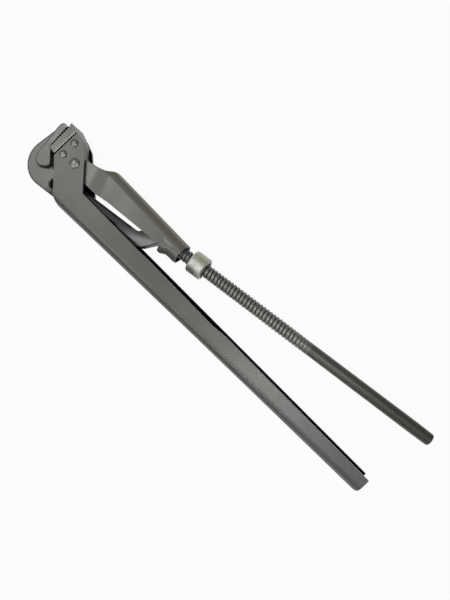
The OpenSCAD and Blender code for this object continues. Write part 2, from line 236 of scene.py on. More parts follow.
def new_group(name, inputs, outputs):
    """An empty shader group with named sockets, and its two end nodes."""
    tree = bpy.data.node_groups.new(name, "ShaderNodeTree")
    for label, kind in inputs.items():
        tree.interface.new_socket(label, in_out="INPUT", socket_type="NodeSocket" + kind)
    for label, kind in outputs.items():
        tree.interface.new_socket(label, in_out="OUTPUT", socket_type="NodeSocket" + kind)
    return tree, tree.nodes.new("NodeGroupInput").outputs, tree.nodes.new("NodeGroupOutput").inputs


def add(tree, kind, inputs=(), **settings):
    """A node with its settings, each input a value or a socket to link from."""
    node = tree.nodes.new("ShaderNode" + kind)
    for key, value in settings.items():
        setattr(node, key, value)
    for key, value in dict(inputs).items():
        if isinstance(value, bpy.types.NodeSocket):
            tree.links.new(value, node.inputs[key])
        else:
            node.inputs[key].default_value = value
    return node


def maths(tree, operation, a, b):
    """A sum, product or the like of two values."""
    return add(tree, "Math", {0: a, 1: b}, operation=operation).outputs[0]


def mixed(tree, factor, a, b):
    """Two colours mixed."""
    return add(tree, "Mix", {0: factor, 6: a, 7: b}, data_type="RGBA").outputs[2]


def stretched(tree, value, low, high, to_low=0.0, to_high=1.0):
    """A value stretched from one span to another and held in it."""
    return add(tree, "MapRange", {"Value": value, "From Min": low, "From Max": high,
                                  "To Min": to_low, "To Max": to_high}).outputs[0]


def noise(tree, place, scale, detail, roughness):
    """A noise's value, at a scale in cycles to the metre."""
    return add(tree, "TexNoise", {"Vector": place, "Scale": scale, "Detail": detail,
                                  "Roughness": roughness}).outputs[0]


def make_steel_skin():
    """Cloudy tone, fine grain and drawn scratches of worked steel."""
    tree, given, result = new_group(
        "steel_skin",
        {"Place": "Vector", "Light": "Color", "Dark": "Color", "Cloud Scale": "Float",
         "Grain Scale": "Float", "Cloud Amount": "Float", "Scratches": "Float",
         "Roughness": "Float", "Roughness Spread": "Float"},
        {"Color": "Color", "Roughness": "Float", "Height": "Float"})
    place = given["Place"]
    drawn = add(tree, "Mapping", {"Vector": place, "Scale": (0.04, 1.0, 1.0),
                                  "Rotation": (0.0, 0.0, 0.35)}).outputs[0]
    cloud = stretched(tree, noise(tree, place, given["Cloud Scale"], 4.0, 0.62), 0.34, 0.66)
    fine = stretched(tree, noise(tree, place, given["Grain Scale"], 2.0, 0.6), 0.3, 0.7)
    line = stretched(tree, noise(tree, drawn, 900.0, 3.0, 0.7), 0.55, 0.8)
    shade = maths(tree, "MULTIPLY", cloud, given["Cloud Amount"])
    speck = maths(tree, "MULTIPLY", stretched(tree, fine, 0.0, 0.35, 1.0, 0.0), 0.12)
    scratch = maths(tree, "MULTIPLY", line, given["Scratches"])
    color = mixed(tree, shade, given["Light"], given["Dark"])
    color = mixed(tree, speck, color, given["Dark"])
    color = mixed(tree, scratch, color, given["Light"])
    spread = maths(tree, "MULTIPLY", maths(tree, "SUBTRACT", cloud, fine),
                   given["Roughness Spread"])
    height = maths(tree, "ADD", maths(tree, "MULTIPLY", fine, 0.6),
                   maths(tree, "MULTIPLY", scratch, -0.8))
    tree.links.new(color, result["Color"])
    tree.links.new(maths(tree, "ADD", given["Roughness"], spread), result["Roughness"])
    tree.links.new(height, result["Height"])
    return tree


def make_edge_rub():
    """Broken bright wear where a mask is high."""
    tree, given, result = new_group(
        "edge_rub", {"Place": "Vector", "Mask": "Float", "Color": "Color", "Bright": "Color",
                     "Amount": "Float"}, {"Color": "Color"})
    broken = stretched(tree, noise(tree, given["Place"], 160.0, 4.0, 0.65), 0.36, 0.56)
    worn = maths(tree, "MULTIPLY", maths(tree, "MULTIPLY", broken, given["Mask"]),
                 given["Amount"])
    tree.links.new(mixed(tree, worn, given["Color"], given["Bright"]), result["Color"])
    return tree


steel_skin = make_steel_skin()
edge_rub = make_edge_rub()

SHADE_MASKS = ("inside", "scale")  # masks of painted shade, which take the shine away
BARE_SHINE = 0.5
SHADE_SHINE = 0.04
POINTED = (0.52, 0.6)  # pointiness from which an edge is rubbed, and where it is fully rubbed


def steel(name, light, dark, bright, metallic=0.25, roughness=0.34, spread=0.06, clouds=45.0,
          cloud_amount=0.6, grain=2600.0, grain_depth=0.0015, scratches=0.2, rub=0.6,
          rubs_points=False, painted_light=None, **masked):
    """A steel finish: its skin, its rubbed edges, a fine bump and a colour for each named mask.

    The eased edges are rubbed, or where rubs_points is set, whatever stands out.
    A colour given with two distances along the X axis, in metres, is turned to between them:
    painted light or shade along the wrench.
    """
    material = bpy.data.materials.new(name)
    material.use_nodes = True
    tree = material.node_tree
    shader = tree.nodes["Principled BSDF"]
    place = add(tree, "TexCoord").outputs["Object"]
    skin = add(tree, "Group", {
        "Place": place, "Light": light, "Dark": dark, "Cloud Scale": clouds,
        "Grain Scale": grain, "Cloud Amount": cloud_amount, "Scratches": scratches,
        "Roughness": roughness, "Roughness Spread": spread}, node_tree=steel_skin).outputs
    if rubs_points:
        edge = stretched(tree, add(tree, "NewGeometry").outputs["Pointiness"], *POINTED)
    else:
        edge = add(tree, "Attribute", attribute_name="rubbed").outputs["Fac"]
    color = add(tree, "Group", {"Place": place, "Mask": edge, "Bright": bright,
                                "Color": skin["Color"], "Amount": rub},
                node_tree=edge_rub).outputs["Color"]
    if painted_light:
        painted_light_color, start, end = painted_light
        along = add(tree, "SeparateXYZ", {0: place}).outputs[0]
        color = mixed(tree, stretched(tree, along, start, end), color, painted_light_color)
    # each mask mixes in its colour; some are painted shade, some painted highlights
    for label, mask_color in masked.items():
        share = add(tree, "Attribute", attribute_name=label).outputs["Fac"]
        color = mixed(tree, share, color, mask_color)
        if label in SHADE_MASKS:
            tree.links.new(stretched(tree, share, 0.0, 1.0, BARE_SHINE, SHADE_SHINE),
                           shader.inputs["Specular IOR Level"])
    bump = add(tree, "Bump", {"Height": skin["Height"], "Distance": grain_depth * MM,
                              "Strength": 1.0})
    tree.links.new(color, shader.inputs["Base Color"])
    tree.links.new(skin["Roughness"], shader.inputs["Roughness"])
    tree.links.new(bump.outputs[0], shader.inputs["Normal"])
    shader.inputs["Metallic"].default_value = metallic
    return material


# painted shade: near black for the faces inside the channel and the link, the jaw's shaded sides,
# the rivets' rims and the thread's roots
SHADE_BLACK = tone(24, 24, 23)
# painted light: the channel turns paler towards its free end, where the lamps' sheen falls; its
# inside is painted shade
channel_finish = steel("channel_sheet", tone(111, 114, 109), tone(102, 104, 100),
                       tone(134, 136, 132), roughness=0.35, spread=0.02, grain_depth=0.0006,
                       painted_light=(tone(121, 124, 120), 0.05, 0.15), inside=SHADE_BLACK)
# painted shade on the jaw's sides at its seat and teeth, and a near-white painted highlight on its
# seat's bevels
jaw_finish = steel("fixed_jaw_steel", tone(118, 118, 113), tone(108, 109, 105),
                   tone(150, 150, 146), inside=SHADE_BLACK, polished=tone(226, 226, 222))
# painted shade on the rivets' upright rims
rivet_finish = steel("rivet_steel", tone(146, 147, 142), tone(138, 139, 134),
                     tone(150, 150, 147), metallic=0.5, roughness=0.3, spread=0.02,
                     grain_depth=0.0004, scratches=0.1, inside=SHADE_BLACK)
bush_finish = steel("bush_steel", tone(80, 80, 77), tone(66, 66, 63), tone(100, 100, 98))
# painted highlight on the ridge by the wrapped end, a painted warm tint of reflected light on the
# faces turned to +Y, painted shade inside
link_finish = steel("link_sheet", tone(122, 125, 120), tone(114, 114, 108), tone(142, 144, 139),
                    worn=tone(158, 160, 154), browned=tone(146, 142, 131), inside=SHADE_BLACK)
spring_finish = steel("blued_spring", tone(56, 60, 66), tone(40, 44, 52), tone(90, 92, 96),
                      roughness=0.3)
# painted light: the foot turns paler where the lamps light it; the pointed edges are rubbed bright
# as wear and as a painted highlight; the scale mask is painted shade, the highlight mask a painted
# highlight on the foot's rim
forged_finish = steel("forged_hook", tone(125, 126, 122), tone(117, 118, 113),
                      tone(158, 159, 155), clouds=30.0, cloud_amount=0.7, grain=1500.0,
                      grain_depth=0.005, rubs_points=True, rub=0.5,
                      painted_light=(tone(150, 152, 148), -0.105, -0.085), scale=tone(20, 21, 20),
                      polished=tone(215, 218, 212))
# painted light: the thread turns paler along the X axis where the lamps fall off; painted shade in
# its roots, and darker up to the nut and before the handle
thread_finish = steel("rolled_thread", tone(144, 145, 140), tone(134, 134, 129),
                      tone(152, 152, 148), cloud_amount=0.4, grain_depth=0.0004, scratches=0.0,
                      rub=0.0, painted_light=(tone(162, 163, 158), -0.02, 0.05), inside=SHADE_BLACK)
# painted shade: the handle turns darker towards its end
grip_finish = steel("round_handle", tone(111, 110, 104), tone(101, 99, 92), tone(124, 123, 118),
                    roughness=0.42, spread=0.02, grain_depth=0.0006,
                    painted_light=(tone(93, 92, 86), 0.13, 0.18))

# ---- Channel handle, fixed jaw and link: the nodes' own shapes with eased edges ----

CHANNEL_EASE = 0.35  # widths of the eased edges
JAW_EASE = 0.2
LINK_EASE = 0.3

CHANNEL_HALF_GAP = 9.25  # half the room between the walls
HEEL_X = 24  # from here to the free end, the channel has an open edge
EDGE_Y = -13.4  # height of the open edge
EDGE_BACK = [(HEEL_X, 0.05), (186, 1.2), (200, -0.1), (356, -0.05)]  # near wall's edge set back
EDGE_OUT = 0.2  # how far the far wall's edge is let out
FOLD_OUT = [(100, 0), (183, 0.1), (356, 0.85)]  # how far the web and the folds are let out
FOLD_DEPTH = 5  # the folds lie further than this below the open edge
END_X = 347  # past this, the free end is squared
END_SQUARE = 2.2  # how far the end's lower corner is let out
END_DEPTH = 9  # depth below the open edge from which it is let out so far
SEAT_X = -20.4  # where the cheeks' seats for the fixed jaw pass the pivot's height
SEAT_SLOPE = math.tan(math.radians(4))
SEAT_BACK = 1.2  # how far the cheeks' rims stand behind their seats

TEETH_X = (-30.5, -26.6)  # where the fixed jaw's teeth lie
TEETH_Y = (-4.2, 22.3)
TEETH_OPEN = 0.5  # how far the teeth open towards the nose
NOSE_Y = 20  # height from which they are open so far

LINK_HALF_GAP = 7.0  # half the room between the ears
LINK_HALF_WIDTH = 8.9
BACK_CENTRE = 12.4  # height of the round back's centre above the pivot
WRAP_X = 105.0  # where the wrapped end starts
WRAP_CENTRE = 7.3  # height of its centre there
WRAP_RISE = 0.228  # and the centre's rise along the link
PRESS_LEAN = 0.35  # how the pressing's front leans over the height
PRESS_Z = 5.0  # the pressing grows from here to the flanks' outside
PRESS_CUTS = (19.5, 21.4, 23.4, 26, 29, 32, 34.2, 37, 45, 60, 80)
# how far the flanks are pressed in, over the distance along the link plus its leaning height
PRESSED_IN = [(19.5, 0), (21.4, 0.03), (23.4, 0.2), (32, 1.15), (34.2, 1.3), (37, 1.26),
              (100, 0)]
# how far the wrapped sheet is drawn up below, over the distance along the link
DRAWN_UP = [(105, 0), (107.5, -0.5), (110, 0.7), (112.5, 1.5), (116, 1.0), (120, 0.1),
            (123, -0.3)]
DRAWN_Y = (9, 3)  # heights from which the sheet is drawn up, and where it is fully drawn
RIDGE_START = 102  # the ridge on the flanks with the painted highlight starts past this cut
RIDGE_CUTS_Y = (8.8, 10.9)  # heights at which the flanks are cut along it
FLANK_X = (60, 120)  # the faces that are cut: their middle's place along the link
FLANK_Y = 8  # and the height that they reach past
RIDGE_X = (105, 113)  # the corners that get the painted highlight
RIDGE_Y = (10, 11.5)
RIDGE_Z = 5
SLIVER = 0.3  # a face of less area isn't cut, in square millimetres


def in_channel(point, way):
    """Whether a face lies inside the channel and isn't one of its edges."""
    return abs(point.z) < CHANNEL_HALF_GAP + 0.05 and way.y > -0.5 and abs(way.x) < 0.7


def in_link(point, _way):
    """Whether a face lies inside the link's round back or its wrapped end."""
    past = max(point.y - BACK_CENTRE, 0)
    if point.x > WRAP_X:
        past += min(point.y - WRAP_CENTRE - (point.x - WRAP_X) * WRAP_RISE, 0)
    return math.hypot(past, point.z) < LINK_HALF_GAP + 0.2


def in_teeth(point):
    """Whether a point lies in the fixed jaw's teeth."""
    return TEETH_X[0] < point.x < TEETH_X[1] and TEETH_Y[0] < point.y < TEETH_Y[1]


def cut_ridge(bm):
    """Cuts the flanks along the ridge with the painted highlight, where the wrapped end starts."""
    bm.normal_update()
    for y in RIDGE_CUTS_Y:
        flanks = [face for face in bm.faces
                  if abs(face.normal.z) > 0.7 and face.calc_area() > SLIVER
                  and FLANK_X[0] < face.calc_center_median().x < FLANK_X[1]
                  and max(vert.co.y for vert in face.verts) > FLANK_Y]
        around = dict.fromkeys(part for face in flanks for part in face.edges[:] + face.verts[:])
        bmesh.ops.bisect_plane(bm, geom=flanks + list(around), dist=LOOSE_MM,
                               plane_co=(0, y, 0), plane_no=(0, 1, 0))


def press_link(bm):
    """Presses the flanks in behind the ears and draws the wrapped end up round the shank."""
    bmesh.ops.transform(bm, matrix=LINK.inverted(), verts=bm.verts)
    cuts = [(x, (1, PRESS_LEAN, 0)) for x in PRESS_CUTS]
    cuts += [(x, (1, 0, 0)) for x in [RIDGE_START] + [x for x, _ in DRAWN_UP[1:-1]]]
    for x, way in cuts:
        bmesh.ops.bisect_plane(bm, geom=whole(bm), dist=LOOSE_MM, plane_co=(x, 0, 0),
                               plane_no=way)
    cut_ridge(bm)
    # painted highlight on the ridge where the flank turns into the wrapped end
    worn = bm.verts.layers.float.new("worn")
    for vert in bm.verts:
        x, y, z = vert.co
        on_ridge = RIDGE_X[0] < x < RIDGE_X[1] and RIDGE_Y[0] < y < RIDGE_Y[1]
        vert[worn] = float(on_ridge and abs(z) > RIDGE_Z)
        pressed = between(x + PRESS_LEAN * y, PRESSED_IN) * ramp(abs(z), PRESS_Z, LINK_HALF_WIDTH)
        vert.co.z -= math.copysign(pressed, z)
        vert.co.y += between(x, DRAWN_UP) * ramp(y, *DRAWN_Y)
    bmesh.ops.transform(bm, matrix=LINK, verts=bm.verts)
    bm.normal_update()
    mark_inside(bm, LINK, in_link)
    # painted reflection: a warm tint on the faces turned towards +Y
    browned = bm.faces.layers.float.new("browned")
    for face in bm.faces:
        face[browned] = ramp(face.normal.y, 0, 0.5)


def trim_channel(bm):
    """Trims the open edges, the folds, the free end and the cheeks' rims beside the fixed jaw."""
    back = CHANNEL.inverted()
    for step_x, _ in EDGE_BACK[1:-1]:
        bmesh.ops.bisect_plane(bm, geom=whole(bm), dist=LOOSE,
                               plane_co=CHANNEL @ Vector((step_x, 0, 0)),
                               plane_no=CHANNEL.to_3x3() @ Vector((1, 0, 0)))
    for vert in bm.verts:
        x, y, z = back @ vert.co
        if x > END_X:
            x += END_SQUARE * ramp(y, EDGE_Y, EDGE_Y - END_DEPTH)
        if x > HEEL_X and abs(y - EDGE_Y) < 0.1:
            y += EDGE_OUT if z < 0 else -between(x, EDGE_BACK)
        elif y < EDGE_Y - FOLD_DEPTH:
            y -= between(x, FOLD_OUT)
        if abs(x - SEAT_X - y * SEAT_SLOPE) < 0.15:
            x += SEAT_BACK
        vert.co = CHANNEL @ Vector((x, y, z))
    bm.normal_update()
    mark_inside(bm, CHANNEL, in_channel)


def trim_jaw(bm):
    """Eases the teeth away towards the nose, and marks the painted shade on the sides of the seat
    and the teeth and the painted highlight on the bevels.
    """
    back = CHANNEL.inverted()
    for vert in bm.verts:
        point = back @ vert.co
        if in_teeth(point):
            vert.co.x += TEETH_OPEN * MM * ramp(point.y, 0, NOSE_Y)
    bm.normal_update()
    inside = bm.faces.layers.float.new("inside")
    polished = bm.faces.layers.float.new("polished")
    # painted shade on the sides facing the seat and in the teeth, a painted highlight on the
    # seat's bevels
    for face in bm.faces:
        point = back @ face.calc_center_median()
        way = face.normal
        on_seat = way.x > 0.9 and point.x < SEAT_X + 3
        face[inside] = float(abs(way.z) < 0.5 and (on_seat or in_teeth(point)))
        face[polished] = float(way.x > 0.5 and 0.5 < abs(way.z) < 0.85)


eased_copy("channel", "channel_handle", "handle", channel_finish, CHANNEL_EASE,
           before=trim_channel)
eased_copy("jaw_block", "fixed_jaw", "handle", jaw_finish, JAW_EASE,
           before=trim_jaw)
eased_copy("link", "link_shell", "link", link_finish, LINK_EASE,
           after=press_link)

# ---- Bush and spring, which keep their own shapes ----

for node, finish in (("pivot_bush", bush_finish), ("leaf_spring", spring_finish)):
    held = frame["nodes"][node]
    held.data.materials.clear()
    held.data.materials.append(finish)

# ---- Rivets ----

CHEEK_FACE = 12.0  # height of the cheeks' outside
RIM_H = 0.9  # upright rim below the crown
BEDDED = 0.02  # the heads are bedded this deep in the cheeks
JAW_RIVETS = [(-13.98, -1.35), (-13.02, 12.32)]
JAW_RIVET_SIZES = (2.3, 3.35, 1.7)  # shank's radius, head's radius, head's height
PIVOT_RIVET_SIZES = (3.5, 4.5, 1.8)


def rivet(bm, x, y, shank_r, head_r, head_h):
    """The near half of a rivet with a buttoned head, turned round its own axis."""
    rise = head_h - RIM_H
    ball_r = (head_r ** 2 + rise ** 2) / (2 * rise)
    low = math.degrees(math.acos(head_r / ball_r))
    crown = arc((0, CHEEK_FACE + head_h - ball_r), ball_r, low, 90, 10)
    side = [(shank_r, 0), (shank_r, CHEEK_FACE - BEDDED), (head_r, CHEEK_FACE - BEDDED)]
    side += crown[:-1] + [(0, CHEEK_FACE + head_h)]
    turned(bm, [(x + r, y, z) for r, z in side], (x, y, 0), (0, 0, 1), 48)


def rivets(name, node, places, sizes):
    """Rivets of one size, their upright rims painted dark as shade."""
    bm = bmesh.new()
    for x, y in places:
        rivet(bm, x, y, *sizes)
    mirrored_down(bm)
    inside = bm.faces.layers.float.new("inside")
    for face in bm.faces:
        face[inside] = float(abs(face.normal.z) < 0.3)
    set_down(bm, name, CHANNEL, "handle", rivet_finish, (node,))


rivets("jaw_rivet_heads", "jaw_rivets", JAW_RIVETS, JAW_RIVET_SIZES)
rivets("pivot_rivet_heads", "pivot_rivet", [(0, 0)], PIVOT_RIVET_SIZES)

# ---- Hook lever's forging and its toothed face ----

BAR_HALF = 6.0  # half the bar's thickness
BAR_ROUND = 2.2  # rounding of its rims
BAR_TOP = -8.2  # height of its upper edge
LOBE_HALF = 11.2  # half the toothed lobe's thickness
HOOK_CENTRE = (-22.6, -6.5)  # of the hook's round back
HOOK_R = 22.8
LOBE_CENTRE = (-28.5, -6.8)  # of the lobe's round corner
LOBE_R = 7.1
FACE_X = -28.5  # crests of the hook's teeth, in the channel's frame
FACE_BACK = FACE_X - 1.3  # the forging stops behind the teeth, which are a strip of their own
THROAT_Y = -3.7  # where the teeth end, in the channel's frame
FOOT_X = 79.0  # where the bar turns into the foot
SCREW_R = 5.7  # radius of the thread's crests
STUB_LEN = 16
VOXEL = 0.46
SMOOTHINGS = 5
TOOTH_EASE = 0.12
TOOTH_SHADE = 0.97  # how dark the painted shade is between the teeth
STRIP_BACK = 3.2  # how far the toothed strip reaches behind the crests
STRIP_PROUD = 1.002  # it is this much thicker than the lobe, so that its sides show

# outlines, in the lever's frame, where the foot's points are given from FOOT_X
mouth = [on_lever(FACE_BACK - 0.35, 19.2), on_lever(FACE_BACK, THROAT_Y + 0.3),
         on_lever(FACE_X, THROAT_Y), (-19, -7.5)]
foot = [(0, BAR_TOP), (2.2, -7.2), (4, -5), (6.5, -0.7), (10, 3.3), (14, 5.3), (19, 5.7),
        (23, 5.7), (23, -5.7), (21.5, -7.3), (12.8, -17.2), (10.6, -18.4), (7.2, -18.8)]
hook_back = arc(HOOK_CENTRE, HOOK_R, 270, 158, 26) + [
    (-37.5, 21.3), (-36.3, 25.4), (-33.2, 28.5)]
lobe_back = arc(LOBE_CENTRE, LOBE_R, -50, -180, 12) + [
    (-35.3, 1.3), (-34.5, 13.5), (-34.2, 21.3), (-33.6, 26.0), (-32.6, 28.0), (-31.4, 28.8)]
bar_rim = (mouth + [(-17, BAR_TOP)] + [(FOOT_X + x, y) for x, y in foot] + [(-3, -29.3)]
           + hook_back)
lobe_rim = mouth + [(-21.4, -11.4)] + lobe_back
LOBE_DRAFT = 0.8  # how much further out the lobe stands at the bar than at its face
NOSE_DRAFT = [0.4, 0.2, 0.0]  # the same at its last points, on the nose
LOBE_ROUND = 0.5  # width and height of the bevel round its face
LOBE_ROUND_H = 0.4
LOBE_SUNK = 1.5  # how deep the lobe starts in the bar

FLUTE_START = (-8.3, -19.35)  # centre of the fluting's round end
FLUTE_START_R = 4.95
FLUTE_END = (60.0, -16.2)  # centre of its narrow end
FLUTE_END_R = 1.5
FLUTE_STEPS = ((0.9, 1.1), (2.1, 2.4))  # how far its sides come in, and how deep they are there


def pushed(points, amounts):
    """Points moved outwards, each by its own amount, from a loop that runs clockwise."""
    moved = []
    for i, point in enumerate(points):
        way = (Vector(points[(i + 1) % len(points)]) - Vector(points[i - 1])).normalized()
        moved.append(tuple(Vector(point) + Vector((-way.y, way.x)) * amounts[i]))
    return moved


def flute_rim(inset):
    """The fluting's outline, from the round end beside the hook to the narrow end at the foot."""
    wide = arc(FLUTE_START, FLUTE_START_R - inset, 90, 270, 16)
    narrow = arc(FLUTE_END, max(FLUTE_END_R - inset * 0.6, 0.4), -90, 90, 8)
    return wide + narrow


def half_bar(bm):
    """The near half of the bar: its rim, its face and the fluting sunk in it."""
    rim = loop_at(bm, bar_rim, BAR_HALF)
    flute = loop_at(bm, flute_rim(0), BAR_HALF)
    bmesh.ops.triangle_fill(bm, use_beauty=True, use_dissolve=False, edges=rim + flute)
    for inset, depth in FLUTE_STEPS:
        deeper = loop_at(bm, flute_rim(inset), BAR_HALF - depth)
        bmesh.ops.bridge_loops(bm, edges=flute + deeper)
        flute = deeper
    bmesh.ops.contextual_create(bm, geom=flute)
    side = bmesh.ops.extrude_edge_only(bm, edges=rim)["geom"]
    bmesh.ops.translate(bm, vec=(0, 0, -BAR_HALF),
                        verts=[v for v in side if isinstance(v, bmesh.types.BMVert)])
    bmesh.ops.bevel(bm, geom=rim, offset=BAR_ROUND, offset_type="OFFSET", segments=4,
                    profile=0.5, affect="EDGES", clamp_overlap=True, material=-1)


def lobes(bm):
    """The thick toothed lobe on both sides of the hook, with its draft and its rounded face."""
    draft = [0.0] * len(mouth)
    draft += [LOBE_DRAFT] * (len(lobe_rim) - len(mouth) - len(NOSE_DRAFT)) + NOSE_DRAFT
    face = pushed(lobe_rim, [-LOBE_ROUND if amount else 0.0 for amount in draft])
    for side in (1, -1):
        lofted(bm, (pushed(lobe_rim, draft), side * (BAR_HALF - LOBE_SUNK)),
               (lobe_rim, side * (LOBE_HALF - LOBE_ROUND_H)), (face, side * LOBE_HALF))


def shank_stub(bm):
    """The start of the shank, which grows out of the foot."""
    stub = bmesh.ops.create_cone(bm, cap_ends=True, cap_tris=False, segments=40, radius1=SCREW_R,
                                 radius2=SCREW_R, depth=STUB_LEN)["verts"]
    bmesh.ops.rotate(bm, verts=stub, cent=(0, 0, 0), matrix=Matrix.Rotation(math.pi / 2, 3, "Y"))
    bmesh.ops.translate(bm, verts=stub, vec=(FOOT_X + 15, 0, 0))


def settled(piece, kind, **settings):
    """Adds a modifier and keeps its result as the piece's mesh."""
    modifier = piece.modifiers.new(kind.lower(), kind)
    for key, value in settings.items():
        setattr(modifier, key, value)
    graph = bpy.context.evaluated_depsgraph_get()
    mesh = bpy.data.meshes.new_from_object(piece.evaluated_get(graph))
    piece.modifiers.clear()
    piece.data = mesh


# painted shade on the bar, where the link and the channel shade it, as dark as this over the
# distance along the lever: none at the hook and at the foot, where it stops on a slant
BAR_START = [(-14, 0), (-4, 0.64)]
BAR_END = [(70, 1), (80, 0.75), (89, 0)]
BAR_SLANT = 2.2
SLANT_Y = -11  # height at which the slant starts at BAR_END's own distances
RIM_SHADE = [(8.2, 1), (9.4, 1), (13.4, 0)]  # how much more painted shade lies below the bar's upper rim, as it rounds away
RIM_DARK = 0.95
# painted shade down in the fluting
FLUTE_SHADE = 0.97
FLUTE_X = (-14, 62)  # where a sunk point belongs to the fluting
FLUTE_Y = (-25, -12)
LIP_X = (54, 90)
FLUTE_LIP = [(46, -13.3), (64, -15.2), (87, -16.7)]  # painted shadow of the channel's near wall lies below this, past the fluting
SIDE_SHADE = 0.85  # painted shade on the bar's upright sides, from SIDE_START on
SIDE_START = -20
LOBE_SHADE = [(6.02, 0), (6.4, 0.7), (10.2, 0.6), (10.9, 0)]  # painted shade on the lobe's sides, over the height
FOOT_HIGHLIGHT = 0.75  # painted highlight on the rounding of the foot's lower rim


def paint_forging_shade(bm):
    """Marks painted shade on the bar and the lobe's sides, darkest down in the fluting, and a
    painted highlight on the foot's rim.
    """
    scale = bm.verts.layers.float.new("scale")
    polished = bm.verts.layers.float.new("polished")
    back = LEVER.inverted()
    for vert in bm.verts:
        point = back @ vert.co
        height = abs(point.z)
        facing = abs(vert.normal.z)
        slant = point.x - BAR_SLANT * (point.y - SLANT_Y)
        share = between(point.x, BAR_START) * between(slant, BAR_END)
        share += (RIM_DARK - share) * between(-point.y, RIM_SHADE) * share
        if FLUTE_X[0] < point.x < FLUTE_X[1] and FLUTE_Y[0] < point.y < FLUTE_Y[1]:
            sunk = ramp(height, BAR_HALF - 0.5, BAR_HALF - 1.3)
            share += (FLUTE_SHADE - share) * sunk
        if LIP_X[0] < point.x < LIP_X[1]:
            lip = between(point.x, FLUTE_LIP)
            share += (FLUTE_SHADE - share) * ramp(point.y, lip, lip - 0.7)
        if point.x > SIDE_START and height < BAR_HALF:
            share = max(share, SIDE_SHADE * ramp(facing, 0.6, 0.3))
        vert[scale] = max(share, between(height, LOBE_SHADE))
        # painted highlight along the rounding of the foot's lower rim
        if point.x > FOOT_X - 4 and point.y < -8.5 and height > 2:
            vert[polished] = FOOT_HIGHLIGHT * ramp(abs(facing - 0.8), 0.17, 0)


def forge_hook():
    """The forging: bar, lobes and stub grown together, with rounded corners between them."""
    bm = bmesh.new()
    half_bar(bm)
    mirrored_down(bm)
    lobes(bm)
    shank_stub(bm)
    piece = set_down(bm, "hook_forging", LEVER, "lever", forged_finish)
    settled(piece, "REMESH", mode="VOXEL", voxel_size=VOXEL * MM)
    bm = bmesh.new()
    bm.from_mesh(piece.data)
    for _ in range(SMOOTHINGS):
        bmesh.ops.smooth_vert(bm, verts=bm.verts, factor=0.5, use_axis_x=True, use_axis_y=True,
                              use_axis_z=True)
    for face in bm.faces:
        face.smooth = True
    paint_forging_shade(bm)
    bm.to_mesh(piece.data)
    bm.free()
    return piece


def toothed_strip():
    """The toothed face that is cut in the forging, crisp as it leaves the cutter."""
    bm = copied("hook_lever")
    cut_to(bm, CHANNEL @ Vector((FACE_X - STRIP_BACK, 0, 0)), (-1, 0, 0))
    cut_to(bm, CHANNEL @ Vector((FACE_X + 1, 0, 0)), (1, 0, 0))
    cut_to(bm, CHANNEL @ Vector((0, THROAT_Y + 0.6, 0)), (0, -1, 0))
    bmesh.ops.scale(bm, vec=(1, 1, STRIP_PROUD), verts=bm.verts, space=Matrix.Translation(-pivot))
    bm.normal_update()
    # painted shade on the teeth's sides
    scale = bm.faces.layers.float.new("scale")
    for face in bm.faces:
        face[scale] = TOOTH_SHADE * (abs(face.normal.z) < 0.5)
    eased(bm, TOOTH_EASE * MM, segments=1)
    set_down(bm, "hook_teeth", Matrix.Identity(4), "lever", forged_finish)


forging = forge_hook()
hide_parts("hook_lever")
toothed_strip()

# ---- Threaded shank and round handle ----

PITCH = 3.4
ROOT_R = 4.75
ROOT_SHADE = (5.4, 4.9)  # radii at which the painted shade in the thread's roots starts, and where it is full
# one turn's profile: the distance along and the radius
RIDGE = [(0.0, ROOT_R), (0.22, ROOT_R + 0.04), (0.48, 5.3), (0.66, 5.56), (0.95, 5.68),
         (1.7, SCREW_R), (2.45, 5.68), (2.74, 5.56), (2.92, 5.3), (3.18, ROOT_R + 0.04),
         (PITCH, ROOT_R)]
TURN_STEPS = 40
THREAD_START = FOOT_X + 22
THREAD_END = 257.5
FADE = 30.0  # length over which the thread runs out
NECK_END = 132.5  # up to the nut, the thread is darkened
DARKENING = 0.3
DARKENING_LEN = 14  # and it darkens again over this length before the handle

GRIP_R = 5.25
HANDLE_END = 372.2
END_ROUND = 1.6
END_TAPER = 0.25  # how much the radius loses
TAPER_LEN = 14  # over this length before the end


def rolled_thread():
    """One ridge swept along the shank, fading into the plain handle."""
    bm = bmesh.new()
    ridge = line_through(bm, [(THREAD_START - PITCH + x, 0, r) for x, r in RIDGE])
    bmesh.ops.spin(bm, geom=ridge, cent=(0, 0, 0), axis=(1, 0, 0), dvec=(PITCH / TURN_STEPS, 0, 0),
                   angle=math.tau, space=Matrix.Identity(4), steps=TURN_STEPS, use_merge=False,
                   use_normal_flip=False, use_duplicate=False)
    reach = PITCH
    while reach < THREAD_END - THREAD_START + 2 * PITCH:
        more = bmesh.ops.duplicate(bm, geom=whole(bm))["geom"]
        bmesh.ops.translate(bm, vec=(reach, 0, 0),
                            verts=[v for v in more if isinstance(v, bmesh.types.BMVert)])
        reach *= 2
    bmesh.ops.remove_doubles(bm, verts=bm.verts, dist=1e-3)
    inside = bm.verts.layers.float.new("inside")
    plain_r = GRIP_R - 0.02
    for vert in bm.verts:
        x, y, z = vert.co
        r = math.hypot(y, z)
        keep = (1 - ramp(x, THREAD_END - FADE, THREAD_END)) ** 0.6
        faded = (plain_r + (r - plain_r) * keep) / r
        vert.co = (x, y * faded, z * faded)
        darkened = DARKENING * ((x < NECK_END) + ramp(x, THREAD_END - DARKENING_LEN, THREAD_END))
        vert[inside] = max(ramp(r, *ROOT_SHADE) * min(keep, 0.8), darkened)
    cut_to(bm, (THREAD_START, 0, 0), (-1, 0, 0))
    cut_to(bm, (THREAD_END, 0, 0), (1, 0, 0))
    set_down(bm, "threaded_shank", LEVER, "lever", thread_finish)


